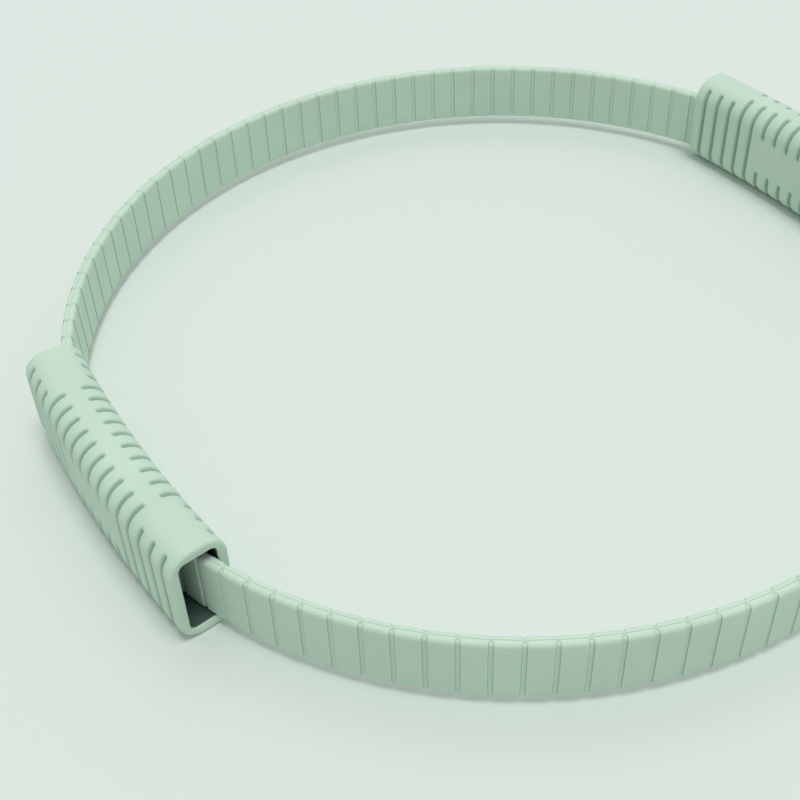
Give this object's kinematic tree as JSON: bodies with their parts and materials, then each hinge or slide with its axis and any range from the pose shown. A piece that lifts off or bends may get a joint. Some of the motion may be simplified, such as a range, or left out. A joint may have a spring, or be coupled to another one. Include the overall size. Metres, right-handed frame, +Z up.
{
  "type": "pilates ring",
  "caption": "Flexible ribbed exercise hoop with fluted grip sleeves that slide round it, squeezed between the hands, knees or ankles in pilates and therapy work.",
  "frame": {"origin": "on the ring's axis, at the level of the sleeves' flat undersides, which the ring rests on", "axes": "+Z up along the ring's axis as it lies flat, +X through the middle of the right-hand grip sleeve, +Y across"},
  "size_m": [0.393, 0.38, 0.044],
  "materials": {
    "spring_steel": "bare rolled spring strip",
    "band_rubber": "matte mint-green thermoplastic rubber, moulded on the spring",
    "joiner_plastic": "matte mint-green moulding",
    "sleeve_rubber": "soft matte mint-green thermoplastic rubber"
  },
  "bodies": {
    "hoop": {"spring_leaf_front": "spring_steel", "spring_leaf_back": "spring_steel", "band_cover_front": "band_rubber", "band_cover_back": "band_rubber", "joiner_right": "joiner_plastic", "joiner_left": "joiner_plastic"},
    "grip_right": {"grip_sleeve_right": "sleeve_rubber"},
    "grip_left": {"grip_sleeve_left": "sleeve_rubber"}
  },
  "joints": [
    {"name": "slide_right", "type": "hinge", "parent": "hoop", "child": "grip_right", "pos_m": [0, 0, 0.01925], "axis": [0, 0, 1], "range_deg": [-65, 65]},
    {"name": "slide_left", "type": "hinge", "parent": "hoop", "child": "grip_left", "pos_m": [0, 0, 0.01925], "axis": [0, 0, 1], "range_deg": [-65, 65]}
  ]
}
